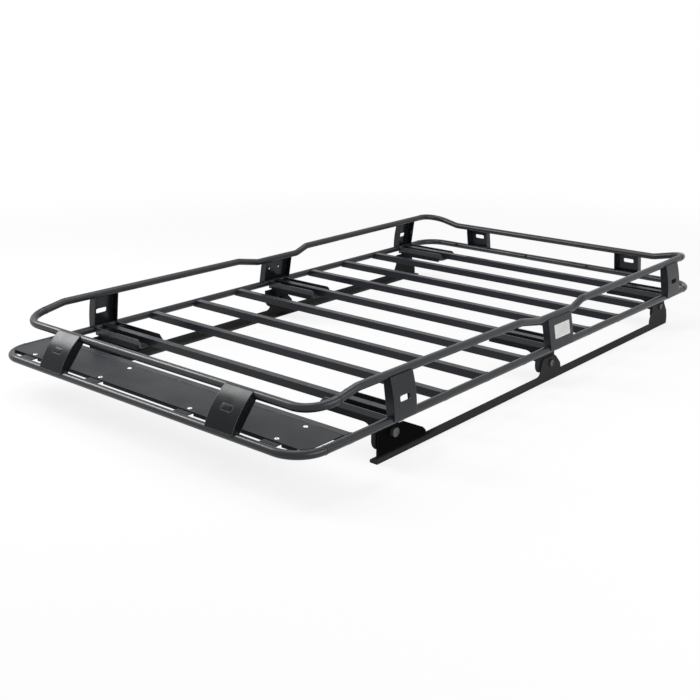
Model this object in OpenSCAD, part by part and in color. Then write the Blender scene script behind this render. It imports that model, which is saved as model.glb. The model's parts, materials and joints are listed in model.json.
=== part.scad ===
// Expedition roof rack for a long estate car or van: a tubular basket with a slatted floor.
// +X points to the front of the vehicle, +Y to its left, +Z up. Millimetres.
// The origin is on the middle line of the rack, halfway along it, under the mounting rails.

/* [Frame] */
// Distance between the centre lines of the front and rear floor tubes
frame_l = 2340; // [2140:10:2600]
// Distance between the centre lines of the two side floor tubes
frame_w = 1320; // [1180:10:1480]
// Diameter of the round tube of the floor frame and of the upper rail
tube_d = 25; // [22:1:30]
// Bend radius of the floor frame's corners, on the tube's centre line
corner_r = 90; // [60:5:130]
// Height of the floor frame's centre line over the underside of the mounting rails
tube_z = 132; // [120:1:160]

/* [Upper rail] */
// How far the upper rail lies inside the floor frame, on each side
rail_inset = 18; // [0:1:30]
// Height of the side rails over the floor frame at the front and rear posts
rail_h = 127; // [115:1:160]
// How much lower the side rails are where they come near the middle posts
rail_sag = 5; // [0:1:10]
// Further drop of the side rails over the middle posts
dip_h = 20; // [10:1:26]
// Length of the lowered stretch over each middle post
dip_l = 225; // [200:5:280]
// Length of the slope in front of the lowered stretch
dip_front_slope = 105; // [80:5:140]
// Length of the slope behind the lowered stretch
dip_rear_slope = 60; // [45:5:100]
// Bend radius at the ends of the slopes
dip_bend_r = 60; // [40:5:90]
// Height of the upper front bar over the floor frame
front_bar_h = 98; // [85:1:112]
// Setback of the upper front bar behind the front floor tube
front_bar_x = 80; // [60:1:110]
// Length of the side rail that slopes down to the front bar
nose_l = 160; // [140:5:220]
// Height of the upper rear bar over the floor frame
rear_bar_h = 95; // [80:1:112]
// Setback of the upper rear bar in front of the rear floor tube
rear_bar_x = 15; // [0:1:30]
// Length of the rear bar that slopes up to each rear corner
rear_rise_l = 150; // [130:5:220]
// Bend radius of the upper rail's corners
rail_corner_r = 85; // [60:5:100]
// Bend radius where the rail meets the slopes at its front and rear
easy_bend_r = 90; // [50:5:120]

/* [Floor] */
// Side of the square tube of the crossbars
bar_d = 25; // [20:1:30]
// Height of the crossbars' top over the floor frame's centre line
bar_top = 10; // [6:1:12]
// Distance from the front floor tube to the first crossbar, which carries the front plate
plate_bar_x = 195; // [185:1:210]
// Distance from the last crossbar to the rear floor tube
last_bar_x = 210; // [185:1:235]

/* [Front plate] */
// Thickness of the front plate
plate_t = 2; // [1.5:0.5:4]
// Depth of the lip folded down at the plate's front edge
plate_lip = 12; // [8:1:16]
// Gap between the front floor tube's centre line and the plate's front edge
plate_front_gap = 32; // [26:1:40]
// Gap between the plate's rear edge and the first crossbar
plate_rear_gap = 6; // [3:1:12]
// Gap between the side tubes' centre lines and the plate's side edges
plate_side_gap = 12; // [12:1:30]
// Clearance between the plate's rounded corners and the bends of the front floor tube
plate_corner_gap = 0.5; // [0.3:0.1:8]
// Distance from the middle line to the inner plate tabs
tab_inner_y = 200; // [150:5:260]
// Distance from the side tubes to the outer plate tabs
tab_inset = 125; // [120:5:180]
// Width of a plate tab
tab_w = 56; // [40:1:64]
// Thickness of a tab
tab_t = 3; // [2:0.5:5]
// Diameter of the bolt holes in the plate and its tabs
tab_hole_d = 9; // [6.5:0.5:13]
// Distance of the front bolt holes behind the front floor tube
hole_front_x = 46; // [40:1:60]
// Distance between the front and the rear bolt holes
hole_pitch = 110; // [90:1:112]

/* [Rear tabs] */
// Distance from the middle line to the inner pair of rear tabs
rear_tab_inner_y = 152; // [100:2:200]
// Distance from the side tubes to the outer pair of rear tabs
rear_tab_inset = 130; // [130:2:170]
// Width of a rear tab
rear_tab_w = 80; // [50:1:90]
// How far the rear tabs stand out from the rear floor tube
rear_tab_l = 22; // [14:1:30]
// Height of the rear tabs' top over the floor frame's centre line
rear_tab_z = 9; // [4:1:9]

/* [Posts] */
// Thickness of the posts' sheet
post_t = 3; // [2:0.5:5]
// Width of the front and rear side posts
post_w = 100; // [80:1:120]
// Width of the middle side posts
mid_post_w = 148; // [120:1:170]
// Depth of a side post's folded edges, from the outside of the sheet
post_fold = 26; // [20:1:34]
// How far the front and rear side posts bulge from the straight line between the tubes
post_bulge = 5; // [2:0.5:8]
// How far the side and rear posts reach over the upper rail, above the rail's underside
post_lap = 7; // [3:1:10]
// How far the side and rear posts reach down over the floor frame, below its centre line
post_foot = 2; // [0:0.5:8]
// Length of the rounded windows in the posts
window_l = 44; // [30:1:60]
// Height of the windows in the side and rear posts
window_h = 17; // [10:1:24]
// Height of the windows in the front posts
front_window_h = 20; // [12:1:26]
// Corner radius of the windows
window_r = 5.5; // [2:0.5:5.5]
// Height of the windows over the floor frame, along the post
window_z = 55; // [45:1:68]
// Diameter of the two small holes in the middle posts
mid_hole_d = 8; // [5:0.5:12]
// Distance between the two small holes in the middle posts
mid_hole_pitch = 52; // [40:1:70]
// Distance from the side tubes to the middles of the front and rear end posts
end_post_inset = 285; // [270:5:400]
// Width of the end posts at the front
front_post_w = 107; // [90:1:130]
// Depth of the front posts' folded edges, inwards of the line between the bars
front_post_fold = 24; // [16:1:30]
// How far the front posts' sheet bulges from the straight line between the bars
front_post_bulge = 9; // [4:0.5:12]
// How far the front posts reach down in front of the floor tube, from their touching point
front_post_foot = 1; // [0:0.5:6]
// How far the front posts reach over the upper front bar, from their touching point
front_post_lap = 2; // [0:0.5:5]
// Width of the end posts at the rear
rear_post_w = 110; // [90:1:130]
// Depth of the rear posts' folded edges, from the outside of the sheet
rear_post_fold = 26; // [20:1:40]

/* [Brackets] */
// Width of the trays under the crossbars that carry the side posts
tray_w = 95; // [80:1:110]
// Length of the trays, across the vehicle
tray_l = 246; // [200:1:300]
// Thickness of the trays' and the foot brackets' sheet
tray_t = 3; // [2:0.5:4]
// Size of the cut or the rounding at the trays' inner corners
tray_cut = 16; // [8:1:20]
// Height of a foot bracket's sides, which hold the tray between them
skirt_h = 16; // [13:1:24]
// How far the sides reach up beside the tray
skirt_lap = 8; // [5:1:9]
// How far the front side of a foot bracket runs further down where it meets the ear
gusset_h = 32; // [16:1:34]
// Width of a foot bracket's ear
ear_w = 120; // [100:1:132]
// How far forward of its crossbar the middle of an ear lies
ear_x = 30; // [20:1:36]
// Corner radius of the ears
ear_r = 34; // [20:1:44]
// Height of the ears' lower edge over the underside of the mounting rails
ear_z = 42; // [36:1:50]
// Height of the front ears' bolts over the underside of the mounting rails
bolt_z = 79; // [76:1:82]
// Diameter of the bolt holes through the ears
bolt_hole_d = 11; // [9:0.5:13]

/* [Mounting rails] */
// Distance from the side tubes' centre lines to the rails' outer faces
foot_inset = 27; // [20:1:60]
// Thickness of the rails' sheet
foot_t = 4; // [3:0.5:6]
// Height of the rails' web between the ears
web_h = 28; // [22:1:32]
// Width of the rails' flange, which points inwards
flange_w = 34; // [24:1:50]
// Corner radius at the ends of the flange
flange_r = 14; // [6:1:20]
// How far the rails run on past the front crossbar that they carry
foot_front = 71; // [66:1:90]
// How far the rails run on past the rear crossbar that they carry
foot_rear = 56; // [54:1:80]
// Length of the slots in the flange, for the vehicle's roof fixings
foot_slot_l = 30; // [20:1:40]
// Width of the slots in the flange
foot_slot_w = 9; // [7:0.5:11]

/* [Hidden] */
$fn = 64;

// Clearance left for the weld between a piece and what it sits on
weld_gap = 0.2;
// Clearance between pieces that are bolted face to face
bolt_gap = 0.2;
// Clearance between a post's sheet and the tubes, a little more, so that no cut grazes it
sheet_gap = 0.3;
// How far above the lower tube's centre line a post's folded edges begin
fold_lift = 2;
// How much thicker a bend is drawn than the straight tube, and how far the tube runs into it
bend_swell = 0.16;
bend_overlap = 1;

tube_r = tube_d / 2;
front_x = frame_l / 2;
rear_x = -frame_l / 2;
side_y = frame_w / 2;
corner_x = front_x - corner_r;
corner_y = side_y - corner_r;
rail_y = side_y - rail_inset;
end_post_y = side_y - end_post_inset;
bar_count = 9;
bar_pitch = (frame_l - plate_bar_x - last_bar_x) / bar_count;

// Place of a crossbar: 0 is the one that carries the plate
function bar_x(i) = front_x - plate_bar_x - i * bar_pitch;
front_bar_pos = bar_x(1);
mid_bar_pos = bar_x((bar_count + 1) / 2);
rear_bar_pos = bar_x(bar_count);

rail_front_x = front_x - front_bar_x;
rail_rear_x = rear_x + rear_bar_x;
rail_low = rail_h - rail_sag;

black = "#3a3c3f";
dark = "#2b2c2e";

// Vector helpers
function unit(v) = v / norm(v);
function flip(p) = [p.x, -p.y, p.z];

// Distance from a bend's corner to the ends of its arc
function bend_reach(a, b, c, r) =
    let (turn = acos(max(-1, min(1, unit(b - a) * unit(c - b))))) r * tan(turn / 2);

// A round bar between two points, where there is a length of it
module straight(a, b, d) {
    v = b - a;
    if (norm(v) > 0.01)
        translate(a)
            rotate([0, acos(v.z / norm(v)), atan2(v.y, v.x)])
                cylinder(h = norm(v), d = d);
}

// The arc of a tube bent at corner b, on the way from a to c
module bend(a, b, c, r, d) {
    u = unit(b - a);
    w = unit(c - b);
    turn = acos(u * w);
    n = unit(cross(u, w));
    side = cross(n, u);
    centre = b - u * bend_reach(a, b, c, r) + side * r;
    // The arc turns about n; its start, along -side, is found from where the tilt leaves x and y
    tilt = acos(n.z);
    head = atan2(n.y, n.x);
    tilted_x = [cos(tilt) * cos(head), cos(tilt) * sin(head), -sin(tilt)];
    tilted_y = [-sin(head), cos(head), 0];
    translate(centre)
        rotate([0, tilt, head])
            rotate([0, 0, atan2(-side * tilted_y, -side * tilted_x)])
                rotate_extrude(angle = turn)
                    translate([r, 0])
                        circle(d = d);
}

// A tube through a list of points, bent at each inner one with its own radius. The straight
// lengths run a little way into the bends, which are drawn a hair thicker to take them in.
module bent_tube(pts, radii, d) {
    last = len(pts) - 1;
    for (i = [0 : last - 1]) {
        dir = unit(pts[i + 1] - pts[i]);
        cut_a = i == 0 ? 0
            : bend_reach(pts[i - 1], pts[i], pts[i + 1], radii[i - 1]) - bend_overlap;
        cut_b = i == last - 1 ? 0
            : bend_reach(pts[i], pts[i + 1], pts[i + 2], radii[i]) - bend_overlap;
        straight(pts[i] + dir * cut_a, pts[i + 1] - dir * cut_b, d);
    }
    for (i = [1 : last - 1])
        bend(pts[i - 1], pts[i], pts[i + 1], radii[i - 1], d + bend_swell);
}

// Floor frame
module lower_end_tube(x, way) {
    color(black)
        bent_tube(
            [[x - way * corner_r, -side_y, tube_z], [x, -side_y, tube_z],
             [x, side_y, tube_z], [x - way * corner_r, side_y, tube_z]],
            [corner_r, corner_r], tube_d);
}

module lower_side_tube(y) {
    color(black)
        straight([-corner_x, y, tube_z], [corner_x, y, tube_z], tube_d);
}

// Upper rail: its corner points, for the left side, from the front to the rear
nose_top = [rail_front_x - nose_l, rail_y, tube_z + rail_h];
nose_corner = [rail_front_x, rail_y, tube_z + front_bar_h];
tail_corner = [rail_rear_x, rail_y, tube_z + rail_h];
tail_low = [rail_rear_x, rail_y - rear_rise_l, tube_z + rear_bar_h];
dip_mid = mid_bar_pos;
dip_a = [dip_mid + dip_l / 2 + dip_front_slope, rail_y, tube_z + rail_low];
dip_b = [dip_mid + dip_l / 2, rail_y, tube_z + rail_low - dip_h];
dip_c = [dip_mid - dip_l / 2, rail_y, tube_z + rail_low - dip_h];
dip_d = [dip_mid - dip_l / 2 - dip_rear_slope, rail_y, tube_z + rail_low];
nose_cut = nose_corner + unit(nose_top - nose_corner)
    * bend_reach(flip(nose_corner), nose_corner, nose_top, rail_corner_r);
tail_cut = tail_corner + unit(dip_d - tail_corner)
    * bend_reach(tail_low, tail_corner, dip_d, rail_corner_r);
side_rail_pts = [nose_cut, nose_top, dip_a, dip_b, dip_c, dip_d, tail_cut];
side_rail_radii = [easy_bend_r, dip_bend_r, dip_bend_r, dip_bend_r, dip_bend_r];

module side_rail(d) {
    bent_tube(side_rail_pts, side_rail_radii, d);
}

module front_rail(d) {
    bent_tube([flip(nose_cut), flip(nose_corner), nose_corner, nose_cut],
        [rail_corner_r, rail_corner_r], d);
}

module rear_rail(d) {
    bent_tube(
        [flip(tail_cut), flip(tail_corner), flip(tail_low), tail_low, tail_corner, tail_cut],
        [rail_corner_r, easy_bend_r, easy_bend_r, rail_corner_r], d);
}

// Floor
module crossbar(i) {
    len_y = frame_w + 1;
    color(black)
        difference() {
            translate([bar_x(i) - bar_d / 2, -len_y / 2, tube_z + bar_top - bar_d])
                cube([bar_d, len_y, bar_d]);
            for (y = [-side_y, side_y])
                translate([bar_x(i) - bar_d, y, tube_z])
                    rotate([0, 90, 0])
                        cylinder(h = 2 * bar_d, r = tube_r + weld_gap);
            for (s = [-1, 1])
                translate([bar_x(i) - bar_d, s * side_y - (s < 0 ? tube_d : 0),
                    tube_z - tube_d])
                    cube([2 * bar_d, tube_d, 2 * tube_d]);
        }
}

// Front plate: its corners follow the bends of the front floor tube, and its lip stops at them
plate_x1 = front_x - plate_front_gap;
plate_x0 = bar_x(0) + bar_d / 2 + plate_rear_gap;
plate_y = side_y - plate_side_gap;
plate_z = tube_z + bar_top;
hole_x = [front_x - hole_front_x, front_x - hole_front_x - hole_pitch];
tab_outer_y = side_y - tab_inset;
tab_ys = [-tab_outer_y, -tab_inner_y, tab_inner_y, tab_outer_y];
bend_d = tube_d + bend_swell;
bend_rim = sqrt(max(0, bend_d * bend_d / 4 - bar_top * bar_top));
plate_r = corner_r - bend_rim - plate_corner_gap;
lip_r = corner_r - bend_d / 2 - plate_corner_gap;
lip_y = corner_y + sqrt(lip_r * lip_r - (plate_x1 - corner_x) * (plate_x1 - corner_x));
lip_cut = 1;

module front_plate() {
    color(dark)
        difference() {
            union() {
                translate([0, 0, plate_z])
                    linear_extrude(plate_t)
                        plate_outline();
                translate([plate_x1 - plate_t, -lip_y, plate_z - plate_lip + plate_t])
                    cube([plate_t, 2 * lip_y, plate_lip]);
            }
            for (x = hole_x, y = tab_ys)
                translate([x, y, plate_z - plate_t])
                    cylinder(h = 3 * plate_t, d = tab_hole_d);
            for (y = tab_ys)
                translate([plate_x1 - 2 * plate_t, y - tab_w / 2 - lip_cut, plate_z - plate_lip])
                    cube([4 * plate_t, tab_w + 2 * lip_cut, plate_lip]);
        }
}

module plate_outline() {
    difference() {
        translate([plate_x0, -plate_y])
            square([plate_x1 - plate_x0, 2 * plate_y]);
        for (s = [-1, 1])
            difference() {
                translate([corner_x, s > 0 ? corner_y : -side_y])
                    square(corner_r);
                translate([corner_x, s * corner_y])
                    circle(r = plate_r);
            }
    }
}

// Tabs under the plate: four on the front floor tube and four on the first crossbar
module plate_tabs() {
    top = plate_z - bolt_gap;
    color(black)
        for (y = tab_ys) {
            difference() {
                translate([hole_x[0] - tab_w / 4, y - tab_w / 2, top - tab_t])
                    cube([front_x - hole_x[0] + tab_w / 4, tab_w, tab_t]);
                translate([front_x, y - tab_w, tube_z])
                    rotate([-90, 0, 0])
                        cylinder(h = 2 * tab_w, r = tube_r + weld_gap);
                translate([hole_x[0], y, top - 2 * tab_t])
                    cylinder(h = 3 * tab_t, d = tab_hole_d);
            }
            difference() {
                translate([bar_x(0) + bar_d / 2 + weld_gap, y - tab_w / 2, top - tab_t])
                    cube([hole_x[1] - bar_x(0) - bar_d / 2 + tab_w / 4, tab_w, tab_t]);
                translate([hole_x[1], y, top - 2 * tab_t])
                    cylinder(h = 3 * tab_t, d = tab_hole_d);
            }
        }
}

// Tabs on the inner side of the rear floor tube
rear_tab_outer_y = side_y - rear_tab_inset;
rear_tab_ys = [-rear_tab_outer_y, -rear_tab_inner_y, rear_tab_inner_y, rear_tab_outer_y];

module rear_tabs() {
    color(black)
        for (y = rear_tab_ys)
            difference() {
                translate([rear_x, y - rear_tab_w / 2, tube_z + rear_tab_z - tab_t])
                    cube([tube_r + rear_tab_l, rear_tab_w, tab_t]);
                translate([rear_x, -side_y, tube_z])
                    rotate([-90, 0, 0])
                        cylinder(h = frame_w, r = tube_r + weld_gap);
            }
}

// A slot with round ends along x, through a sheet that faces z
module slot_cut(l, w, depth) {
    for (s = [-1, 1])
        translate([s * (l - w) / 2, 0, 0])
            cylinder(h = depth, d = w, center = true);
    cube([l - w, w, depth], center = true);
}

// A window with rounded corners, through a sheet that faces y
module window_cut(l, h, depth) {
    rotate([90, 0, 0])
        linear_extrude(depth, center = true) {
            square([l - 2 * window_r, h], center = true);
            square([l, h - 2 * window_r], center = true);
            for (x = [-1, 1], y = [-1, 1])
                translate([x * (l / 2 - window_r), y * (h / 2 - window_r)])
                    circle(r = window_r);
        }
}

// A post: a sheet that lies on the outer side of two parallel tubes, a span apart, with its
// side edges folded in between them. It is drawn upright, over a tube along y at the origin,
// with the sheet facing +x, from foot below that tube to lap above the other. The sheet may
// bulge outwards from the line between its ends. The folds are cut to fit straight tubes along
// y at the heights that are given.
module folded_post(w, span, fold, bulge, foot, lap, heights) {
    reach = tube_r + sheet_gap;
    low = -foot;
    high = span + lap;
    module skin(out) {
        if (bulge == 0)
            translate([0, low])
                square([reach + out, high - low]);
        else {
            half = (high - low) / 2;
            arch_r = (half * half + bulge * bulge) / (2 * bulge);
            intersection() {
                translate([-fold, low])
                    square([fold + reach + out + bulge, high - low]);
                translate([reach + out + bulge - arch_r, (low + high) / 2])
                    circle(r = arch_r, $fn = 180);
            }
        }
    }
    translate([0, w / 2, 0])
        rotate([90, 0, 0])
            linear_extrude(w)
                difference() {
                    skin(post_t);
                    skin(0);
                }
    difference() {
        for (y = [-w / 2 + post_t, w / 2])
            translate([0, y, 0])
                rotate([90, 0, 0])
                    linear_extrude(post_t)
                        intersection() {
                            translate([reach + post_t - fold, fold_lift])
                                square([fold + bulge, span - fold_lift]);
                            union() {
                                skin(post_t);
                                translate([-fold, 0])
                                    square([fold, span]);
                            }
                        }
        post_tubes(w, heights);
    }
}

// The room that straight tubes take up in a post
module post_tubes(w, heights) {
    for (z = heights)
        translate([0, -w, z])
            rotate([-90, 0, 0])
                cylinder(h = 2 * w, r = tube_r + weld_gap);
}

// A side post, drawn on the left side, leaning with the line between the two tubes
function rail_rise(x) =
    x > dip_a.x ? rail_h - rail_sag * (nose_top.x - x) / (nose_top.x - dip_a.x)
    : x < dip_d.x ? rail_h - rail_sag * (x - tail_corner.x) / (dip_d.x - tail_corner.x)
    : rail_low - dip_h;

module side_post(x, w, bulge) {
    rise = rail_rise(x);
    difference() {
        translate([x, side_y, tube_z])
            rotate([atan2(rail_inset, rise), 0, 0])
                difference() {
                    rotate([0, 0, 90])
                        folded_post(w, norm([rail_inset, rise]), post_fold, bulge,
                            post_foot, post_lap - tube_r, [0]);
                    translate([0, tube_r, window_z])
                        children();
                }
        side_rail(tube_d + 2 * weld_gap);
    }
}

module outer_side_post(x) {
    color(black)
        side_post(x, post_w, post_bulge)
            window_cut(window_l, window_h, 4 * (post_t + post_bulge));
}

module middle_side_post() {
    color(black)
        side_post(mid_bar_pos, mid_post_w, 0)
            for (s = [-1, 1])
                translate([s * mid_hole_pitch / 2, 0, 0])
                    rotate([90, 0, 0])
                        cylinder(h = 4 * post_t, d = mid_hole_d, center = true);
}

// A front post slopes from the front floor tube up and back to the upper front bar
module front_post(y) {
    span = norm([front_bar_x, front_bar_h]);
    color(black)
        translate([front_x, y, tube_z])
            rotate([0, -atan2(front_bar_x, front_bar_h), 0])
                difference() {
                    folded_post(front_post_w, span, front_post_fold, front_post_bulge,
                        front_post_foot, front_post_lap, [0, span]);
                    translate([tube_r, 0, window_z + front_window_h / 2])
                        rotate([0, 0, 90])
                            window_cut(window_l, front_window_h, 4 * (post_t + front_post_bulge));
                }
}

// A rear post stands on the rear floor tube
module rear_post(y) {
    span = norm([rear_bar_x, rear_bar_h]);
    color(black)
        translate([rear_x, y, tube_z])
            rotate([0, atan2(rear_bar_x, rear_bar_h), 0])
                mirror([1, 0, 0])
                    difference() {
                        folded_post(rear_post_w, span, rear_post_fold, 0,
                            post_foot, post_lap - tube_r, [0, span]);
                        translate([tube_r, 0, window_z])
                            rotate([0, 0, 90])
                                window_cut(window_l, window_h, 4 * post_t);
                    }
}

// A tray: a channel under the end of a crossbar, open at the top, drawn on the left side
tray_y1 = side_y - tube_r - weld_gap;
tray_y0 = tray_y1 - tray_l;
tray_top = tube_z + bar_top;
tray_floor = tube_z + bar_top - bar_d - weld_gap - tray_t;

module tray(x, rounded) {
    difference() {
        translate([x - tray_w / 2, tray_y0, tray_floor])
            cube([tray_w, tray_l, tray_top - tray_floor]);
        translate([x - tray_w / 2 + tray_t, tray_y0 - 1, tray_floor + tray_t])
            cube([tray_w - 2 * tray_t, tray_l + 2, tray_top]);
        translate([x - tray_w, tray_y0, tray_top - tray_cut])
            if (rounded)
                difference() {
                    translate([0, -1, 0])
                        cube([2 * tray_w, tray_cut + 1, tray_cut + 1]);
                    translate([0, tray_cut, 0])
                        rotate([0, 90, 0])
                            cylinder(h = 2 * tray_w, r = tray_cut);
                }
            else
                rotate([45, 0, 0])
                    cube([2 * tray_w, 2 * tray_cut, tray_cut * sqrt(2)]);
    }
}

// A foot bracket: a web under the tray, a side at each side of the tray, and an ear folded
// down at the outer end. Its front side runs down in a curve to the ear.
bracket_top = tray_floor - bolt_gap;
bracket_y0 = tray_y0 + tray_cut;
skirt_x = tray_w / 2 + bolt_gap;
skirt_z = tray_floor + skirt_lap - skirt_h;
foot_y = side_y - foot_inset;
bracket_y1 = foot_y - foot_t - bolt_gap;

module foot_bracket(x, bolt) {
    difference() {
        union() {
            translate([x - skirt_x - tray_t, bracket_y0, bracket_top - tray_t])
                cube([2 * (skirt_x + tray_t), bracket_y1 - bracket_y0, tray_t]);
            for (s = [-1, 1])
                translate([x + s * (skirt_x + tray_t / 2), (bracket_y0 + bracket_y1) / 2,
                    skirt_z + skirt_h / 2])
                    cube([tray_t, bracket_y1 - bracket_y0, skirt_h], center = true);
            gusset(x + skirt_x);
            translate([x + ear_x, bracket_y1, 0])
                rotate([90, 0, 0])
                    linear_extrude(tray_t)
                        ear_outline();
        }
        translate([x + bolt.x, bracket_y1 + 1, bolt_z + bolt.y])
            rotate([90, 0, 0])
                cylinder(h = tray_t + 2, d = bolt_hole_d);
    }
}

module gusset(x) {
    difference() {
        translate([x, bracket_y1 - 2 * gusset_h, skirt_z - gusset_h])
            cube([tray_t, 2 * gusset_h, gusset_h + 1]);
        translate([x - 1, bracket_y1 - 2 * gusset_h, skirt_z - gusset_h])
            rotate([0, 90, 0])
                cylinder(h = tray_t + 2, r = gusset_h);
    }
}

module ear_outline() {
    translate([-ear_w / 2, ear_z + ear_r])
        square([ear_w, bracket_top - ear_z - ear_r]);
    translate([-ear_w / 2 + ear_r, ear_z])
        square([ear_w - 2 * ear_r, ear_r + 1]);
    for (s = [-1, 1])
        translate([s * (ear_w / 2 - ear_r), ear_z + ear_r])
            circle(r = ear_r);
}

// Each ear's bolt, as its distances in front of the crossbar and above bolt_z
front_bolt = [2, 0];
mid_bolt = [2, -15];
rear_bolt = [22, 7];

// A mounting rail: an angle with its flange inwards and three ears, drawn on the left side
foot_x1 = front_bar_pos + foot_front;
foot_x0 = rear_bar_pos - foot_rear;

// Outlines of the three ears, seen from the outside: distance in front of the crossbar, height
front_ear = [
    [foot_front, web_h - 1], [foot_front, 98], [-48, 95], [-139, 50], [-152, 38],
    [-157, web_h - 1]
];
mid_ear = [
    [80, web_h - 1], [66, web_h + 4], [60, 40], [58, 59], [50, 80], [42, 86], [-24, 86],
    [-35, 80], [-66, 50], [-70, 40], [-73, web_h - 1]
];
rear_ear = [
    [97, web_h - 1], [97, 45], [83, 72], [83, 98], [-16, 98], [-48, 55], [-foot_rear, web_h - 1]
];

module rail_ear(x, outline, bolt) {
    translate([x, foot_y, 0])
        rotate([90, 0, 0])
            linear_extrude(foot_t)
                difference() {
                    polygon(outline);
                    translate([bolt.x, bolt_z + bolt.y])
                        circle(d = bolt_hole_d);
                }
}

module flange_outline() {
    difference() {
        translate([foot_x0, foot_y - flange_w])
            square([foot_x1 - foot_x0, flange_w]);
        for (s = [-1, 1])
            translate([s < 0 ? foot_x0 : foot_x1, foot_y - flange_w])
                difference() {
                    square(2 * flange_r, center = true);
                    translate([-s * flange_r, flange_r])
                        circle(r = flange_r);
                }
    }
}

module mounting_rail() {
    translate([foot_x0, foot_y - foot_t, 0])
        cube([foot_x1 - foot_x0, foot_t, web_h]);
    difference() {
        linear_extrude(foot_t)
            flange_outline();
        for (x = foot_slot_xs)
            translate([x, foot_y - foot_t - (flange_w - foot_t) / 2, foot_t / 2])
                slot_cut(foot_slot_l, foot_slot_w, 2 * foot_t);
    }
    rail_ear(front_bar_pos, front_ear, front_bolt);
    rail_ear(mid_bar_pos, mid_ear, mid_bolt);
    rail_ear(rear_bar_pos, rear_ear, rear_bolt);
}

// Slots in each rail's flange, two between each pair of ears
foot_slot_xs = [
    (front_bar_pos + mid_bar_pos) / 2 + bar_pitch, (front_bar_pos + mid_bar_pos) / 2 - bar_pitch,
    (rear_bar_pos + mid_bar_pos) / 2 + bar_pitch, (rear_bar_pos + mid_bar_pos) / 2 - bar_pitch
];

lower_end_tube(front_x, 1);  // lower_front_tube
lower_end_tube(rear_x, -1);  // lower_rear_tube
lower_side_tube(side_y);  // lower_left_tube
lower_side_tube(-side_y);  // lower_right_tube
color(black) front_rail(tube_d);  // upper_front_rail
color(black) rear_rail(tube_d);  // upper_rear_rail
color(black) side_rail(tube_d);  // upper_left_rail
color(black) mirror([0, 1, 0]) side_rail(tube_d);  // upper_right_rail
crossbar(0);  // plate_crossbar
crossbar(1);  // crossbar_1
crossbar(2);  // crossbar_2
crossbar(3);  // crossbar_3
crossbar(4);  // crossbar_4
crossbar(5);  // crossbar_5
crossbar(6);  // crossbar_6
crossbar(7);  // crossbar_7
crossbar(8);  // crossbar_8
crossbar(9);  // crossbar_9
front_plate();
plate_tabs();
rear_tabs();
outer_side_post(front_bar_pos);  // side_post_front_left
middle_side_post();  // side_post_middle_left
outer_side_post(rear_bar_pos);  // side_post_rear_left
mirror([0, 1, 0]) outer_side_post(front_bar_pos);  // side_post_front_right
mirror([0, 1, 0]) middle_side_post();  // side_post_middle_right
mirror([0, 1, 0]) outer_side_post(rear_bar_pos);  // side_post_rear_right
front_post(end_post_y);  // front_post_left
front_post(-end_post_y);  // front_post_right
rear_post(end_post_y);  // rear_post_left
rear_post(-end_post_y);  // rear_post_right
color(black) tray(front_bar_pos, false);  // tray_front_left
color(black) tray(mid_bar_pos, true);  // tray_middle_left
color(black) tray(rear_bar_pos, true);  // tray_rear_left
color(black) mirror([0, 1, 0]) tray(front_bar_pos, false);  // tray_front_right
color(black) mirror([0, 1, 0]) tray(mid_bar_pos, true);  // tray_middle_right
color(black) mirror([0, 1, 0]) tray(rear_bar_pos, true);  // tray_rear_right
color(dark) foot_bracket(front_bar_pos, front_bolt);  // foot_bracket_front_left
color(dark) foot_bracket(mid_bar_pos, mid_bolt);  // foot_bracket_middle_left
color(dark) foot_bracket(rear_bar_pos, rear_bolt);  // foot_bracket_rear_left
color(dark) mirror([0, 1, 0]) foot_bracket(front_bar_pos, front_bolt);  // foot_bracket_front_right
color(dark) mirror([0, 1, 0]) foot_bracket(mid_bar_pos, mid_bolt);  // foot_bracket_middle_right
color(dark) mirror([0, 1, 0]) foot_bracket(rear_bar_pos, rear_bolt);  // foot_bracket_rear_right
color(black) mounting_rail();  // mounting_rail_left
color(black) mirror([0, 1, 0]) mounting_rail();  // mounting_rail_right
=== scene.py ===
# %% [markdown]
# # Dressing an expedition roof rack
#
# The rack itself is already built: tubes, crossbars, sheet posts, trays and mounting rails come
# from the CAD frame, at their real size. This lesson adds what a camera sees on top of that:
# the satin powder coat, the weld beads that join the steel, the bolts, and the light of a
# plain studio. Nothing here moves or resizes the frame.

# %% Load the frame
import json
import math

import bpy
import numpy as np
from mathutils import Matrix, Vector


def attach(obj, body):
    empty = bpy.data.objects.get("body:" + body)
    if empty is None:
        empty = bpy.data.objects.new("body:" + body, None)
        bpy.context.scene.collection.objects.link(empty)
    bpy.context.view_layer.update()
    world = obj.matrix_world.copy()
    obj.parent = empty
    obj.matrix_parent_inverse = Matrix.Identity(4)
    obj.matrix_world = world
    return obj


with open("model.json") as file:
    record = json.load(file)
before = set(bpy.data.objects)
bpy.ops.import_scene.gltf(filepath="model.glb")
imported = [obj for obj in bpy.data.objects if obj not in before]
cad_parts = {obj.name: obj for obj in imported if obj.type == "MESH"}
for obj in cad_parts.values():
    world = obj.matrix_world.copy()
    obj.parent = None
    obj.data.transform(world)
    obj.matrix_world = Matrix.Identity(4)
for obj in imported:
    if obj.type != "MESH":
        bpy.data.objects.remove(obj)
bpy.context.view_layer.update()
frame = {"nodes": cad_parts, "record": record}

nodes = frame["nodes"]
MM = 0.001
scene = bpy.context.scene
print("frame loaded,", len(nodes), "pieces")

# %% [markdown]
# ## The camera
#
# A product photograph gives its own camera away. Long straight tubes that run in three known
# directions meet in vanishing points, and those fix the lens and the tilt; the distance then
# follows from the size of the rack. So the camera is written down as a position, a heading, a
# pitch and a very small roll, which is easier to read than a rotation matrix or three angles.

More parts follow.
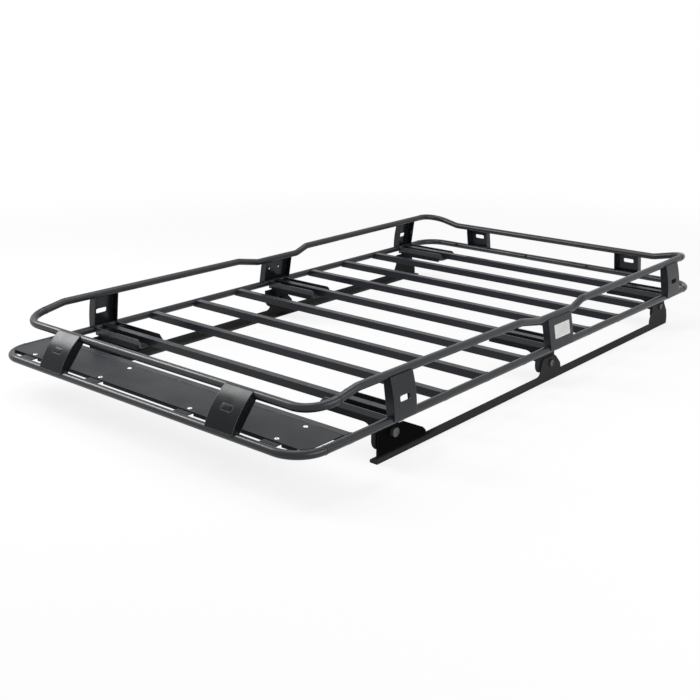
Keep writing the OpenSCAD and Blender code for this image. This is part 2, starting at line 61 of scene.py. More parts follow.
# %% Place the camera
CAMERA_AT = Vector((2.9597, 2.3341, 1.2109))
HEADING = math.radians(-139.770)
PITCH_DOWN = math.radians(17.849)
ROLL = math.radians(0.221)
LENS_MM, SENSOR_MM = 55.1, 36.0
VIEW_LIMIT = 60.0


def camera_axes(heading, pitch_down, roll):
    """Right, up and forward of a camera: forward from the two angles, the others rolled."""
    forward = Vector((math.cos(heading) * math.cos(pitch_down),
                      math.sin(heading) * math.cos(pitch_down), -math.sin(pitch_down)))
    right = forward.cross(Vector((0, 0, 1))).normalized()
    up = right.cross(forward)
    return (right * math.cos(roll) + up * math.sin(roll),
            up * math.cos(roll) - right * math.sin(roll), forward)


right, up, forward = camera_axes(HEADING, PITCH_DOWN, ROLL)
lens = bpy.data.cameras.new("product_camera")
lens.lens = LENS_MM
lens.sensor_width = SENSOR_MM
lens.clip_end = VIEW_LIMIT
camera = bpy.data.objects.new("product_camera", lens)
turn = Matrix((right, up, -forward)).transposed().to_4x4()
camera.matrix_world = Matrix.Translation(CAMERA_AT) @ turn
scene.collection.objects.link(camera)
scene.camera = camera
scene.view_settings.view_transform = "Standard"
print("camera at", tuple(round(v, 3) for v in CAMERA_AT))

# %% [markdown]
# ## Studio light
#
# Black satin paint has almost no colour of its own: what the eye reads is the reflection of
# bright panels. A long panel overhead draws a pale streak along the top of every tube, a tall
# one on the far side puts a sheen on the upper half of the front posts, and a low wide one on
# the near side lifts the side that faces us. The background is white because the floor and the
# world say so to camera and mirror rays, not because more light is poured on.

# %% Lamps and world
def node_tree(owner):
    """An empty node tree on a material or a world."""
    owner.use_nodes = True
    owner.node_tree.nodes.clear()
    return owner.node_tree


def math_node(tree, operation, first, second):
    """One sum on two values, each a number or a socket."""
    node = tree.nodes.new("ShaderNodeMath")
    node.operation = operation
    for socket, value in zip(node.inputs, (first, second)):
        if isinstance(value, (int, float)):
            socket.default_value = value
        else:
            tree.links.new(value, socket)
    return node.outputs[0]


def seen_directly(tree):
    """1 for camera, mirror and glass rays, 0 for the rays that carry light onto things."""
    path = tree.nodes.new("ShaderNodeLightPath")
    seen = math_node(tree, "MAXIMUM", path.outputs["Is Camera Ray"], path.outputs["Is Glossy Ray"])
    return math_node(tree, "MAXIMUM", seen, path.outputs["Is Transmission Ray"])


def build_world(fill):
    """A white world to look at, and a weaker one to be lit by."""
    world = bpy.data.worlds.new("studio")
    scene.world = world
    tree = node_tree(world)
    out = tree.nodes.new("ShaderNodeOutputWorld")
    mix = tree.nodes.new("ShaderNodeMixShader")
    for socket, strength in ((1, fill), (2, 1.0)):
        ground = tree.nodes.new("ShaderNodeBackground")
        ground.inputs["Color"].default_value = (1, 1, 1, 1)
        ground.inputs["Strength"].default_value = strength
        tree.links.new(ground.outputs[0], mix.inputs[socket])
    tree.links.new(seen_directly(tree), mix.inputs[0])
    tree.links.new(mix.outputs[0], out.inputs["Surface"])


def softbox(name, at, look_at, width, depth, watts):
    """A rectangular area lamp at a place, turned towards a point."""
    lamp = bpy.data.lights.new(name, "AREA")
    lamp.shape = "RECTANGLE"
    lamp.size = width
    lamp.size_y = depth
    lamp.energy = watts
    box = bpy.data.objects.new(name, lamp)
    box.location = at
    box.rotation_euler = (Vector(look_at) - Vector(at)).to_track_quat("-Z", "Y").to_euler()
    scene.collection.objects.link(box)


WORLD_FILL = 0.35
PANELS = {
    "overhead_panel": dict(at=(-0.2, -0.3, 3.2), look_at=(-0.1, 0, 0.1),
                           width=3.2, depth=1.3, watts=58.0),
    "post_panel": dict(at=(1.6, -2.4, 2.4), look_at=(1.1, 0, 0.2),
                       width=1.0, depth=1.7, watts=84.0),
    "near_panel": dict(at=(0.2, 3.8, 1.7), look_at=(0, 0, 0.15),
                       width=3.4, depth=1.2, watts=76.0),
}
build_world(WORLD_FILL)
for panel, setting in PANELS.items():
    softbox(panel, **setting)

# %% [markdown]
# ## The floor
#
# The rack stands on a pale floor that runs out of sight. One large quad is enough, because its
# material does the work. To camera and mirror rays most of its brightness is its own, and all of
# it further out, so it reads as white paper without an edge. The rest is ordinary light, which
# keeps a soft shadow under the rack.

# %% Floor
FLOOR_HALF, FLOOR_Z = 40.0, -0.0005
GLOW_NEAR, GLOW_FROM, GLOW_TO = 0.84, 1.6, 4.0
PAPER_SHADE, PAPER_ROUGHNESS, PAPER_GLOSS = 0.8, 0.9, 0.1


def build_floor():
    """A flat square under the rack, whose own glow grows with the distance from the middle."""
    mesh = bpy.data.meshes.new("studio_floor")
    s = FLOOR_HALF
    mesh.from_pydata([(x, y, FLOOR_Z) for x, y in ((-s, -s), (s, -s), (s, s), (-s, s))], [],
                     [(0, 1, 2, 3)])
    floor = bpy.data.objects.new("studio_floor", mesh)
    scene.collection.objects.link(floor)
    paper = bpy.data.materials.new("white_paper")
    tree = node_tree(paper)
    out = tree.nodes.new("ShaderNodeOutputMaterial")
    shader = tree.nodes.new("ShaderNodeBsdfPrincipled")
    shader.inputs["Base Color"].default_value = (PAPER_SHADE, PAPER_SHADE, PAPER_SHADE, 1)
    shader.inputs["Roughness"].default_value = PAPER_ROUGHNESS
    shader.inputs["Specular IOR Level"].default_value = PAPER_GLOSS
    glow = tree.nodes.new("ShaderNodeEmission")
    glow.inputs["Strength"].default_value = 1.0
    place = tree.nodes.new("ShaderNodeTexCoord").outputs["Object"]
    reach = tree.nodes.new("ShaderNodeVectorMath")
    reach.operation = "LENGTH"
    tree.links.new(place, reach.inputs[0])
    share = tree.nodes.new("ShaderNodeMapRange")
    share.interpolation_type = "SMOOTHSTEP"
    for label, value in (("From Min", GLOW_FROM), ("From Max", GLOW_TO), ("To Min", GLOW_NEAR)):
        share.inputs[label].default_value = value
    tree.links.new(reach.outputs["Value"], share.inputs["Value"])
    mix = tree.nodes.new("ShaderNodeMixShader")
    tree.links.new(math_node(tree, "MULTIPLY", share.outputs["Result"], seen_directly(tree)),
                   mix.inputs[0])
    tree.links.new(shader.outputs[0], mix.inputs[1])
    tree.links.new(glow.outputs[0], mix.inputs[2])
    tree.links.new(mix.outputs[0], out.inputs["Surface"])
    mesh.materials.append(paper)


build_floor()
print("floor laid")

# %% [markdown]
# ## Powder coat and soft edges as node groups
#
# Powder paint is sprayed dry and melted in an oven. It flows into a skin with a very fine orange
# peel, a little duller where it is thick, and it draws back from sharp edges, which shine. Every
# steel piece of the rack wears it, so both effects are built once, as groups. The first gives a
# height for the bump, a mask for the dullness and one for the slow drift of the shade, all from
# Object coordinates, so that they stay on the steel. The second rounds the shading of every edge,
# by a millimetre where the sheet was cut and more where it was bent, and tells where edges are.

# %% Shader node groups
def new_group(name, inputs, outputs):
    """A shader node group: inputs are (name, start value), outputs are (name, socket type)."""
    group = bpy.data.node_groups.new(name, "ShaderNodeTree")
    for label, value in inputs:
        socket = group.interface.new_socket(label, in_out="INPUT", socket_type="NodeSocketFloat")
        socket.default_value = value
    for label, kind in outputs:
        group.interface.new_socket(label, in_out="OUTPUT", socket_type="NodeSocket" + kind)
    return group, group.nodes.new("NodeGroupInput"), group.nodes.new("NodeGroupOutput")


def noise(tree, vector, scale, detail, roughness=0.5):
    """A noise texture on a vector. The scale is a number or a socket, in lumps per metre."""
    texture = tree.nodes.new("ShaderNodeTexNoise")
    texture.inputs["Detail"].default_value = detail
    texture.inputs["Roughness"].default_value = roughness
    tree.links.new(vector, texture.inputs["Vector"])
    if isinstance(scale, (int, float)):
        texture.inputs["Scale"].default_value = scale
    else:
        tree.links.new(scale, texture.inputs["Scale"])
    return texture.outputs["Fac"]


def stretch(tree, value, low, high, to_low=0.0, to_high=1.0):
    """Map a value from low..high to to_low..to_high, with a smooth start and end."""
    remap = tree.nodes.new("ShaderNodeMapRange")
    remap.interpolation_type = "SMOOTHSTEP"
    for label, number in (("From Min", low), ("From Max", high),
                          ("To Min", to_low), ("To Max", to_high)):
        remap.inputs[label].default_value = number
    tree.links.new(value, remap.inputs["Value"])
    return remap.outputs["Result"]


def powder_group():
    """Orange peel, dull patches and slow drift of a powder coat."""
    group, given, made = new_group(
        "powder_coat", [("Peel per metre", 700.0), ("Patches per metre", 9.0)],
        [("Height", "Float"), ("Dull", "Float"), ("Drift", "Float")])
    place = group.nodes.new("ShaderNodeTexCoord").outputs["Object"]
    peel = noise(group, place, given.outputs["Peel per metre"], 3.0, 0.6)
    patches = noise(group, place, given.outputs["Patches per metre"], 4.0, 0.55)
    drift = noise(group, place, 2.2, 2.0)
    group.links.new(peel, made.inputs["Height"])
    group.links.new(stretch(group, patches, 0.35, 0.65), made.inputs["Dull"])
    group.links.new(stretch(group, drift, 0.3, 0.7), made.inputs["Drift"])
    return group


def edge_group():
    """A normal that is rounded over at the edges, and a mask that is 1 on them."""
    group, given, made = new_group("soft_edges", [("Radius", 0.0012), ("Sharpness", 6.0)],
                                   [("Normal", "Vector"), ("Edge", "Float")])
    rounded = group.nodes.new("ShaderNodeBevel")
    rounded.samples = 6
    group.links.new(given.outputs["Radius"], rounded.inputs["Radius"])
    flat = group.nodes.new("ShaderNodeNewGeometry").outputs["Normal"]
    same = group.nodes.new("ShaderNodeVectorMath")
    same.operation = "DOT_PRODUCT"
    group.links.new(rounded.outputs[0], same.inputs[0])
    group.links.new(flat, same.inputs[1])
    turned = math_node(group, "SUBTRACT", 1.0, same.outputs["Value"])
    edge = math_node(group, "MULTIPLY", turned, given.outputs["Sharpness"])
    group.links.new(rounded.outputs[0], made.inputs["Normal"])
    group.links.new(stretch(group, edge, 0.0, 1.0), made.inputs["Edge"])
    return group


POWDER = powder_group()
EDGES = edge_group()
print("node groups:", POWDER.name, EDGES.name)

# %% [markdown]
# ## The materials
#
# All the steel is painted alike, but it doesn't look alike: tube is drawn smooth and shines, the
# crossbars and the plate are duller, and the front posts are a deep black whose folded edges
# shine, partly by a painted highlight in their lighter edge colour. The mounting rails are quite
# matt, in a greyer black that partly paints the sheen a bent lower strip would catch, and their
# front ears have a painted shade that makes them darker than the rest. One function makes every
# coat, and each kind of steel gives it its own shades, roughness, gloss and grain. Numbers that
# are the same all over are set on the shader itself.

# %% Powder coat materials
def place_group(tree, group, **values):
    """Put a node group into a tree and set its inputs."""
    node = tree.nodes.new("ShaderNodeGroup")
    node.node_tree = group
    for label, value in values.items():
        node.inputs[label.replace("_", " ")].default_value = value
    return node


def mix_colours(tree, factor, first, second):
    """A colour between two others, by a mask. Each is an RGB triple or a socket."""
    mix = tree.nodes.new("ShaderNodeMix")
    mix.data_type = "RGBA"
    for label, colour in (("A", first), ("B", second)):
        if isinstance(colour, tuple):
            mix.inputs[label].default_value = (*colour, 1)
        else:
            tree.links.new(colour, mix.inputs[label])
    tree.links.new(factor, mix.inputs["Factor"])
    return mix.outputs["Result"]


def relief_on(tree, height, normal, strength, depth_mm):
    """A bump of a given depth on top of a normal."""
    relief = tree.nodes.new("ShaderNodeBump")
    relief.inputs["Strength"].default_value = strength
    relief.inputs["Distance"].default_value = depth_mm * MM
    tree.links.new(height, relief.inputs["Height"])
    if normal is not None:
        tree.links.new(normal, relief.inputs["Normal"])
    return relief.outputs["Normal"]


def start_material(name, gloss):
    """A material with an output and a principled shader, whose plain reflection is set."""
    material = bpy.data.materials.new(name)
    tree = node_tree(material)
    out = tree.nodes.new("ShaderNodeOutputMaterial")
    shader = tree.nodes.new("ShaderNodeBsdfPrincipled")
    shader.inputs["Specular IOR Level"].default_value = gloss
    tree.links.new(shader.outputs[0], out.inputs["Surface"])
    return material, tree, shader


# The mounting rails' front ears get a painted shade; these bound it along x and z.
EAR_STARTS, STRIP_ENDS = (0.53, 0.62), (0.011, 0.024)


def front_ear_shade_mask(tree):
    """A painted-shade mask, 1 on the rails' front ears: far enough forward, above the strip."""
    split = tree.nodes.new("ShaderNodeSeparateXYZ")
    tree.links.new(tree.nodes.new("ShaderNodeTexCoord").outputs["Object"], split.inputs[0])
    return math_node(tree, "MULTIPLY", stretch(tree, split.outputs["X"], *EAR_STARTS),
                     stretch(tree, split.outputs["Z"], *STRIP_ENDS))


PEEL_DEPTH_MM = 0.03


def powder_coat(name, dark, light, rough, gloss, peel, bump, edge_wear_and_sheen=None, edge_mm=1.2, ears=None):
    """Satin black paint: two shades by the drift, two roughnesses by the dull patches.

    peel is the orange peel's lumps per metre, and bump its strength. Sheet and square tube also
    have soft edges of edge_mm, on which the paint is thin and has a lighter edge colour: wear, and
    on the posts also a painted highlight. The last argument is a painted shade on the mounting
    rails' front ears.
    """
    material, tree, shader = start_material(name, gloss)
    coat = place_group(tree, POWDER, Peel_per_metre=peel)
    shade = mix_colours(tree, coat.outputs["Drift"], dark, light)
    # A painted shade darkens the rails' front ears.
    if ears is not None:
        shade = mix_colours(tree, front_ear_shade_mask(tree), shade, ears)
    normal = None
    # Edge colour: wear of the thin paint, and on the posts a painted highlight.
    if edge_wear_and_sheen is not None:
        edges = place_group(tree, EDGES, Radius=edge_mm * MM)
        normal = edges.outputs["Normal"]
        shade = mix_colours(tree, edges.outputs["Edge"], shade, edge_wear_and_sheen)
    tree.links.new(shade, shader.inputs["Base Color"])
    tree.links.new(stretch(tree, coat.outputs["Dull"], 0.0, 1.0, *rough),
                   shader.inputs["Roughness"])
    tree.links.new(relief_on(tree, coat.outputs["Height"], normal, bump, PEEL_DEPTH_MM),
                   shader.inputs["Normal"])
    return material


WORN = (0.034, 0.036, 0.04)
COATS = {
    "tube_coat": powder_coat(
        "tube_black", dark=(0.009, 0.0105, 0.014), light=(0.014, 0.0158, 0.02),
        rough=(0.28, 0.35), gloss=0.36, peel=800.0, bump=0.06),
    "crossbar_coat": powder_coat(
        "crossbar_black", dark=(0.008, 0.0095, 0.013), light=(0.013, 0.0148, 0.019),
        rough=(0.28, 0.38), gloss=0.20, peel=700.0, bump=0.3, edge_wear_and_sheen=WORN, edge_mm=1.8),
    "plate_coat": powder_coat(
        "plate_black", dark=(0.009, 0.0105, 0.014), light=(0.014, 0.0158, 0.02),
        rough=(0.28, 0.36), gloss=0.10, peel=650.0, bump=0.25, edge_wear_and_sheen=WORN, edge_mm=1.0),
    # The posts' lighter edge colour paints a highlight along their folds, over the thin paint
    # there.
    "post_coat": powder_coat(
        "post_black", dark=(0.007, 0.0083, 0.0112), light=(0.011, 0.0126, 0.0162),
        rough=(0.24, 0.31), gloss=0.27, peel=700.0, bump=0.06, edge_wear_and_sheen=(0.06, 0.062, 0.067),
        edge_mm=2.6),
    "foot_coat": powder_coat(
        "foot_black", dark=(0.005, 0.0058, 0.0072), light=(0.009, 0.0102, 0.0125),
        rough=(0.42, 0.55), gloss=0.07, peel=420.0, bump=0.8, edge_wear_and_sheen=(0.018, 0.0195, 0.022)),
}
TRAY = powder_coat(
    "tray_black", dark=(0.010, 0.0115, 0.015), light=(0.015, 0.0168, 0.021),
    rough=(0.26, 0.34), gloss=0.42, peel=700.0, bump=0.2, edge_wear_and_sheen=WORN, edge_mm=1.8)
# The rails' greyer base partly paints the sheen of a bent lower strip, and the ears' dark shade is
# painted shade.
RAIL = powder_coat(
    "rail_black_painted_shade_and_sheen", dark=(0.027, 0.0275, 0.0285), light=(0.037, 0.0375, 0.0385),
    rough=(0.42, 0.55), gloss=0.005, peel=420.0, bump=0.8, edge_wear_and_sheen=(0.048, 0.0485, 0.050),
    ears=(0.0022, 0.0023, 0.0026))
# The front posts' light edge colour is a painted highlight along their folded edges.
FRONT_POST = powder_coat(
    "front_post_black_painted_edge_highlight", dark=(0.005, 0.006, 0.008), light=(0.008, 0.0092, 0.0118),
    rough=(0.20, 0.27), gloss=0.15, peel=700.0, bump=0.06, edge_wear_and_sheen=(0.20, 0.205, 0.215),
    edge_mm=2.6)
WELD = powder_coat(
    "weld_black", dark=(0.008, 0.0095, 0.0125), light=(0.013, 0.0148, 0.0185),
    rough=(0.40, 0.50), gloss=0.22, peel=1200.0, bump=0.35)
print("materials:", sorted(COATS))

# %% Dress the CAD nodes
OWN_COATS = {"tray": TRAY, "mounting_rail": RAIL, "front_post": FRONT_POST}
slot_of = {part["node"]: part["material_slot"] for part in frame["record"]["subparts"]}
for name, piece in nodes.items():
    own = [coat for start, coat in OWN_COATS.items() if name.startswith(start)]
    piece.data.materials.clear()
    piece.data.materials.append(own[0] if own else COATS[slot_of[name]])
print("dressed", len(slot_of), "CAD nodes")

# %% [markdown]
# ## Surfaces from arrays
#
# Everything that is added to the frame is small and repeats: weld beads, bolts, caps. Each is a
# grid of points worked out with numpy, in rings, so one helper turns rings into faces and closes
# both ends with a point. A second helper turns a bolt about its axis, and a third gathers many
# such shapes into one mesh, in millimetres of the CAD frame.

# %% Mesh helpers
def ring_faces(rings, sides):
    """Quads between neighbouring rings of points, the last side joined to the first."""
    i = np.arange(rings - 1)[:, None] * sides
    j = np.arange(sides)[None, :]
    k = (j + 1) % sides
    return np.stack([i + j, i + k, i + sides + k, i + sides + j], axis=-1).reshape(-1, 4)


def closed_tube(centres, side, axis, radius, start, end):
    """Rings about the centres, with a pole at each end.

    A point is centre + radius * (cos(a) * side + sin(a) * axis), where side, axis and the way
    along the tube are at right angles. radius has one row for each ring, one column for each a.
    """
    rings, sides = radius.shape
    a = np.arange(sides) * 2 * np.pi / sides
    turn = (np.cos(a)[None, :, None] * side[:, None, :]
            + np.sin(a)[None, :, None] * axis[:, None, :])
    points = (centres[:, None, :] + radius[:, :, None] * turn).reshape(-1, 3)
    j = np.arange(sides)
    k = (j + 1) % sides
    first, last = rings * sides, rings * sides + 1
    foot = np.stack([np.full(sides, first), k, j], axis=-1)
    top = np.stack([np.full(sides, last), j + last - 1 - sides, k + last - 1 - sides], axis=-1)
    return (np.vstack([points, start, end]),
            ring_faces(rings, sides).tolist() + foot.tolist() + top.tolist())


def mirrored(part):
    """The same surface on the rack's right side: y changes its sign and each face its sense."""
    points, faces = part
    return points * (1, -1, 1), [face[::-1] for face in faces]


def both_sides(parts):
    """A list of parts and its mirror image."""
    return parts + [mirrored(part) for part in parts]


def gather(name, parts, material, smooth_angle=math.radians(40)):
    """Many parts as one mesh object in metres, which rides on the rack."""
    points, faces, count = [], [], 0
    for part_points, part_faces in parts:
        points.append(part_points * MM)
        faces += [[index + count for index in face] for face in part_faces]
        count += len(part_points)
    mesh = bpy.data.meshes.new(name)
    mesh.from_pydata(np.vstack(points).tolist(), [], faces)
    mesh.materials.append(material)
    mesh.shade_smooth()
    mesh.set_sharp_from_angle(angle=smooth_angle)
    piece = bpy.data.objects.new(name, mesh)
    scene.collection.objects.link(piece)
    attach(piece, "root")
    print(name, "-", len(parts), "parts,", len(faces), "faces")


# %% [markdown]
# ## Weld beads
#
# The frame is joined by hand: a bead is laid round each joint in small overlapping puddles, and
# the powder coat covers it. A bead is a thin tube along its seam. Its radius rises and falls in
# scallops a few millimetres long, wavers slowly, and rounds off to nothing at both ends. Real
# beads are never quite alike, so each starts at its own place in the pattern.

# %% Bead along a seam
BEAD_STEP = 0.95
BEAD_SIDES = 8
SCALLOP = 3.4


def seam_line(start, end):
    """Evenly spaced points on a straight seam."""
    start, end = np.asarray(start, float), np.asarray(end, float)
    count = max(6, int(np.linalg.norm(end - start) / BEAD_STEP))
    return start + np.linspace(0, 1, count)[:, None] * (end - start)


def seam_arc(x, y, z, radius, low, high):
    """Points round a tube that lies along x: y - radius * cos(t), z + radius * sin(t)."""
    count = max(6, int(radius * math.radians(abs(high - low)) / BEAD_STEP))
    t = np.radians(np.linspace(low, high, count))
    return np.stack([np.full(count, x), y - radius * np.cos(t), z + radius * np.sin(t)], axis=-1)


def bead(seam, across, radius):
    """A scalloped tube along a seam that lies in a plane at right angles to across.

    At a length s along it the radius is R * (0.84 + 0.16 * |sin(pi * (s / scallop + phase))|)
    * (1 + 0.05 * sin(s / 9 + phase)), times the height of a quarter circle near each end.
    """
    steps = np.linalg.norm(np.diff(seam, axis=0), axis=1)
    s = np.concatenate([[0], np.cumsum(steps)])
    along = np.gradient(seam, axis=0)
    along /= np.linalg.norm(along, axis=1)[:, None]
    axis = np.broadcast_to(np.asarray(across, float), seam.shape)
    side = np.cross(axis, along)
    phase = float(np.abs(seam[0]).sum()) % 7.3
    puddle = 0.84 + 0.16 * np.abs(np.sin(np.pi * (s / SCALLOP + phase)))
    waver = 1 + 0.05 * np.sin(s / 9 + phase)
    to_end = np.clip(np.minimum(s, s[-1] - s) / (1.6 * radius) + 0.12, 0, 1)
    rounding = np.sqrt(1 - (1 - to_end) ** 2)
    size = radius * puddle * waver * rounding
    tip = 0.15 * radius
    return closed_tube(seam, side, axis, np.repeat(size[:, None], BEAD_SIDES, axis=1),
                       seam[0] - along[0] * tip, seam[-1] + along[-1] * tip)


print("beads ready, a scallop every", SCALLOP, "mm")

# %% [markdown]
# ### Where the floor frame is welded
#
# The numbers repeat the source's sizes in millimetres: tubes of 25 mm on a frame of 2340 by 1320,
# square bars every 215 mm. A crossbar's end is coped to fit the side tube, so its seam goes round
# the tube on both faces of the bar and straight across its top. The side tubes meet the bent ends
# of the frame in a butt joint, which is a bead right round.

# %% Crossbar and frame beads
TUBE_R, TUBE_Z = 12.5, 132.0
SIDE_Y, FRONT_X, CORNER_X = 660.0, 1170.0, 1080.0
BAR_HALF, BAR_TOP = 12.5, 142.0
BAR_XS = [975.0 - 215.0 * i for i in range(10)]
BAR_BEAD, UNDER_BEAD, BUTT_BEAD = 2.3, 1.9, 1.1


def crossbar_end(x):
    """The beads at the left end of a crossbar: two round the tube, one over, one under."""
    top = math.degrees(math.asin((BAR_TOP - TUBE_Z) / TUBE_R))
    over = SIDE_Y - math.sqrt(TUBE_R ** 2 - (BAR_TOP - TUBE_Z) ** 2) - 0.5
    under = SIDE_Y + 0.6
    faces = [seam_arc(x + way * (BAR_HALF + 0.4), SIDE_Y, TUBE_Z, TUBE_R + 0.4, -72, top)
             for way in (-1, 1)]
    parts = [bead(seam, (1, 0, 0), BAR_BEAD) for seam in faces]
    for y, z, radius in ((over, BAR_TOP + 0.4, BAR_BEAD),
                         (under, TUBE_Z - TUBE_R - 0.7, UNDER_BEAD)):
        seam = seam_line((x - BAR_HALF, y, z), (x + BAR_HALF, y, z))
        parts.append(bead(seam, (0, 0, 1), radius))
    return parts


def butt_joint(centre, along, tube_radius):
    """A bead right round a tube, as a seam that turns once and ends where it began.

    A point of the seam is centre + tube_radius * (cos(t) * p + sin(t) * q), with p and q at
    right angles to the tube. Its two ends overlap by a few millimetres.
    """
    along = np.asarray(along, float) / np.linalg.norm(along)
    p = np.cross(along, (0, 1, 0))
    p /= np.linalg.norm(p)
    q = np.cross(along, p)
    t = np.linspace(0.2, 0.35 + 2 * np.pi, int(2 * np.pi * tube_radius / BEAD_STEP))
    seam = np.asarray(centre, float) + tube_radius * (
        np.cos(t)[:, None] * p + np.sin(t)[:, None] * q)
    return bead(seam, along, BUTT_BEAD)


floor_parts = [part for x in BAR_XS for part in crossbar_end(x)]
floor_parts += [butt_joint((way * CORNER_X, SIDE_Y, TUBE_Z), (1, 0, 0), TUBE_R) for way in (-1, 1)]
gather("floor_welds", both_sides(floor_parts), WELD)

# %% [markdown]
# ### Where the posts, rails and tabs are welded
#
# A post is a folded sheet that lies against the outer side of two tubes. Its bottom edge is welded
# to the floor tube and its top edge to the rail. Seen along the post, a place is given by how far
# it is out from the line between the two tubes and how far up that line; a small function turns
# that into the frame's own directions.

# %% Post beads
POST_T, POST_BEAD = 3.0, 2.2
SHEET_IN = TUBE_R + 0.3
RAIL_Y = 642.0
RAIL_RISE = {760.0: 122.5, -100.0: 102.0, -960.0: 126.2}
SIDE_POSTS = [(760.0, 100.0), (-100.0, 148.0), (-960.0, 100.0)]
SIDE_FOOT, SIDE_LAP = 2.0, -5.5


def leaning(foot, rise_vector, out_hint):
    """A function that gives the point so far along, out and up from a post's foot.

    With it come the post's own up and out directions and its length between the two tubes.
    """
    up = np.asarray(rise_vector, float)
    span = np.linalg.norm(up)
    up = up / span
    out = np.asarray(out_hint, float)
    out = out - up * np.dot(out, up)
    out /= np.linalg.norm(out)
    level = np.cross(up, out)

    def place(along, outward, upward):
        return np.asarray(foot, float) + along * level + outward * out + upward * up

    return place, up, out, span


def post_beads(foot, rise_vector, out_hint, width, below, lap):
    """A bead under a post's lower edge and one over its upper edge."""
    place, up, out, span = leaning(foot, rise_vector, out_hint)
    half = width / 2 - 1.5
    low = (SHEET_IN + 0.9, -below - 1.2)
    high = (SHEET_IN + 0.4, span + lap + 1.0)
    return [bead(seam_line(place(-half, *spot), place(half, *spot)), out, POST_BEAD)
            for spot in (low, high)]


post_parts = []
for x, width in SIDE_POSTS:
    post_parts += post_beads((x, SIDE_Y, TUBE_Z), (0, RAIL_Y - SIDE_Y, RAIL_RISE[x]), (0, 1, 0),
                             width, SIDE_FOOT, SIDE_LAP)
END_POST_Y = 375.0
FRONT_RISE, REAR_RISE = (-80.0, 0.0, 98.0), (15.0, 0.0, 95.0)
post_parts += post_beads((FRONT_X, END_POST_Y, TUBE_Z), FRONT_RISE, (1, 0, 0),
                         width=107.0, below=1.0, lap=2.0)
post_parts += post_beads((-FRONT_X, END_POST_Y, TUBE_Z), REAR_RISE, (-1, 0, 0),
                         width=110.0, below=2.0, lap=-5.5)
gather("post_welds", both_sides(post_parts), WELD)

# %% Rail, tab and tray beads
RAIL_JOINTS = [((1006.4, RAIL_Y, 245.2), (-160.0, 0.0, 29.0)),
               ((-1070.0, RAIL_Y, 258.5), (1.0, 0.0, -0.0057))]
TAB_HALF, TAB_YS = 28.0, (200.0, 535.0)
REAR_TAB_HALF, REAR_TAB_YS = 40.0, (152.0, 530.0)
TAB_TOP, REAR_TAB_TOP = 142.6, 141.6
TRAY_HALF, TRAY_Y0, TRAY_Y1, TRAY_FLOOR = 47.5, 401.3, 647.3, 116.8
TAB_BEAD, WALL_BEAD, STITCH_BEAD = 2.0, 2.4, 2.1


def tab_bead(x, y, half, z):
    """A bead along a tab's edge, on the top of a tube that lies along y."""
    return bead(seam_line((x, y - half + 2, z), (x, y + half - 2, z)), (0, 0, 1), TAB_BEAD)


def tray_beads(x):
    """Short beads where a tray's walls meet the side tube, and two stitches beside the bar."""
    parts = []
    for way in (-1, 1):
        wall = x + way * (TRAY_HALF - 1.5)
        parts.append(bead(seam_line((wall, TRAY_Y1 - 0.6, 124.0), (wall, TRAY_Y1 - 0.6, 140.0)),
                          (0, 1, 0), WALL_BEAD))
        foot = x + way * (BAR_HALF + 0.6)
        parts.append(bead(seam_line((foot, TRAY_Y0 + 8, TRAY_FLOOR + 0.8),
                                    (foot, TRAY_Y0 + 46, TRAY_FLOOR + 0.8)),
                          (0, 0, 1), STITCH_BEAD))
    return parts


small_parts = [butt_joint(centre, along, TUBE_R) for centre, along in RAIL_JOINTS]
small_parts += [tab_bead(FRONT_X - 8.2, y, TAB_HALF, TAB_TOP) for y in TAB_YS]
small_parts += [tab_bead(-FRONT_X + 9.0, y, REAR_TAB_HALF, REAR_TAB_TOP) for y in REAR_TAB_YS]
for x, _ in SIDE_POSTS:
    small_parts += tray_beads(x)
gather("rail_and_tray_welds", both_sides(small_parts), WELD)

# %% [markdown]
# ## Bolts
#
# Two kinds show. Eight bright zinc bolts hold the front plate to its tabs: low button heads with
# a hex socket above, and a nut below. Six dark ones join the brackets to the mounting rails, each
# under a round plastic cap. All of them are turned shapes: a profile of radius and height goes
# round an axis, and where a ring has to be six-sided its radius is cos(30) / cos(angle from the
# middle of a flat), which is the outline of a hexagon.

# %% Turned shapes
BOLT_SIDES = 36
FLAT_ANGLE = math.radians(25)
HEAD_R, HEAD_EDGE, HEAD_CROWN = 7.0, 0.4, 1.7


def turned(profile, at, axis):
    """A closed turned surface from rows of (radius, height, share of hexagon)."""
    rows = np.asarray(profile, float)
    axis = np.asarray(axis, float) / np.linalg.norm(axis)
    hint = np.array((1.0, 0, 0)) if abs(axis[0]) < 0.9 else np.array((0, 1.0, 0))
    side = np.cross(axis, hint)
    side /= np.linalg.norm(side)
    second = np.cross(axis, side)
    a = np.arange(BOLT_SIDES) * 2 * np.pi / BOLT_SIDES
    hexagon = math.cos(math.pi / 6) / np.cos(a % (np.pi / 3) - np.pi / 6)
    radius = rows[:, :1] * (1 + rows[:, 2:] * (hexagon[None, :] - 1))
    centres = np.asarray(at, float) + rows[:, 1:2] * axis
    count = len(rows)
    return closed_tube(centres, np.repeat(side[None], count, 0), np.repeat(second[None], count, 0),
                       radius, centres[0], centres[-1])


def button_head():
    """From the underside to the bottom of the socket: edge, dome, six-sided socket."""
    dome = [(HEAD_R * math.cos(t), HEAD_EDGE + HEAD_CROWN * math.sin(t), 0)
            for t in np.linspace(0, 1.12, 8)]
    return ([(4.4, 0, 0), (HEAD_R - 0.2, 0, 0), (HEAD_R, 0.15, 0)] + dome
            + [(2.9, 1.85, 1), (2.75, 1.7, 1), (2.7, 0.6, 1), (0.6, 0.5, 1)])


def hex_nut(across, height):
    """A nut with chamfered corners and a stub of thread in it."""
    r = across / 2 / math.cos(math.pi / 6)
    return [(r * 0.5, 0, 0), (r * 0.86, 0, 1), (r, height * 0.12, 1), (r, height * 0.88, 1),
            (r * 0.86, height, 1), (r * 0.58, height, 0), (r * 0.55, height + 1.6, 0),
            (r * 0.45, height + 2.2, 0)]


print("head profile has", len(button_head()), "rings")

